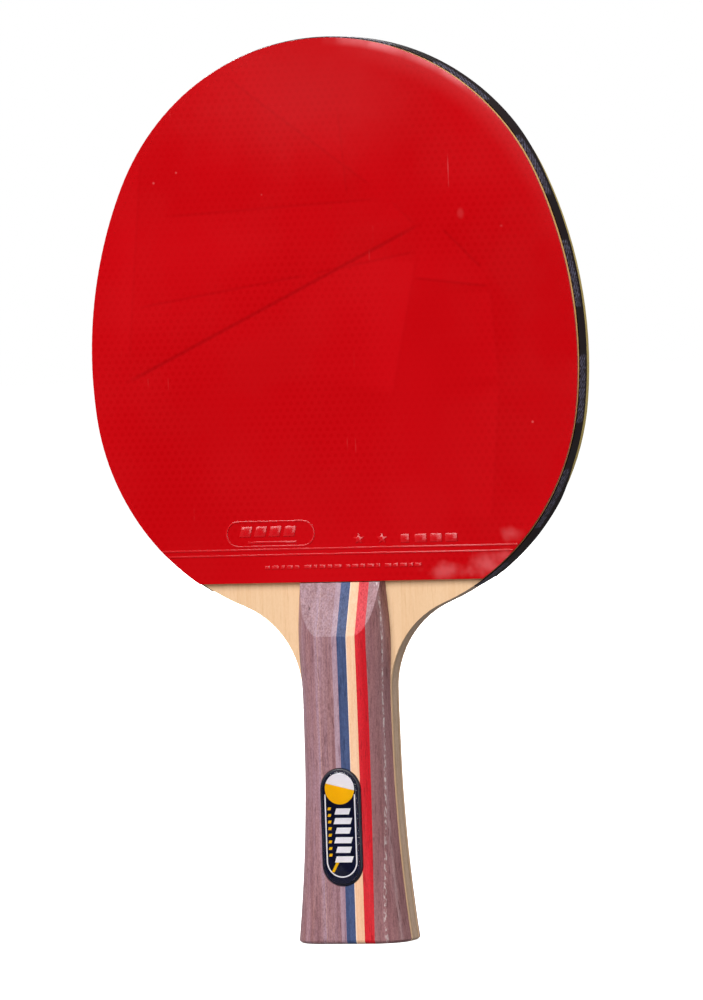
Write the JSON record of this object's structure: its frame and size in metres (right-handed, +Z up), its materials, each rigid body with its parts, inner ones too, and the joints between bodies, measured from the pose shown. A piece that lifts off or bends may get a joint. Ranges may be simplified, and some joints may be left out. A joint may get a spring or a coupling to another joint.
{
  "type": "table tennis paddle",
  "caption": "Flared-handle table tennis paddle: plywood blade, red and black sponge rubbers, edge tape, striped laminated grip and a domed badge.",
  "frame": {"origin": "centre of the flat butt end of the grip, on the blade's middle plane", "axes": "+Z up the handle towards the head; +X across the blade; -Y out of the red forehand face and +Y out of the black backhand face"},
  "size_m": [0.15, 0.0239, 0.26],
  "materials": {
    "face_veneer": "pale sanded limba-like veneer, thin sealer",
    "cross_veneer": "darker cross-grain veneer, seen only at the sawn edge",
    "core_veneer": "light soft core veneer, seen only at the sawn edge",
    "cream_sponge": "fine closed-cell sponge",
    "yellow_sponge": "fine closed-cell sponge, yellow-olive",
    "red_rubber": "glossy red pimples-in sheet",
    "black_rubber": "satin black pimples-in sheet",
    "edge_tape": "black edge tape with faint grey printed patches",
    "mauve_wood": "dyed mauve-grey wood, long fine grain",
    "lilac_wood": "pale lilac dyed wood strip",
    "blue_wood": "dyed blue wood strip",
    "cream_wood": "undyed cream wood strip",
    "red_wood": "dyed red wood strip",
    "badge_base": "dark navy moulded plastic",
    "badge_print": "printed foil: navy ground, white line, yellow and white shapes",
    "badge_resin": "clear domed resin"
  },
  "bodies": {
    "root": {"front_face_ply": "face_veneer", "front_cross_ply": "cross_veneer", "core_ply": "core_veneer", "back_cross_ply": "cross_veneer", "back_face_ply": "face_veneer", "front_sponge": "cream_sponge", "front_topsheet": "red_rubber", "back_sponge": "yellow_sponge", "back_topsheet": "black_rubber", "edge_tape": "edge_tape", "front_grip_mauve_outer": "mauve_wood", "front_grip_mauve_inner": "mauve_wood", "front_grip_lilac_inner": "lilac_wood", "front_grip_blue": "blue_wood", "front_grip_cream": "cream_wood", "front_grip_red": "red_wood", "front_grip_lilac_outer": "lilac_wood", "front_grip_mauve_side": "mauve_wood", "back_grip_mauve_outer": "mauve_wood", "back_grip_mauve_inner": "mauve_wood", "back_grip_lilac_inner": "lilac_wood", "back_grip_blue": "blue_wood", "back_grip_cream": "cream_wood", "back_grip_red": "red_wood", "back_grip_lilac_outer": "lilac_wood", "back_grip_mauve_side": "mauve_wood", "badge_base": "badge_base", "badge_print": "badge_print", "badge_dome": "badge_resin"}
  },
  "joints": []
}
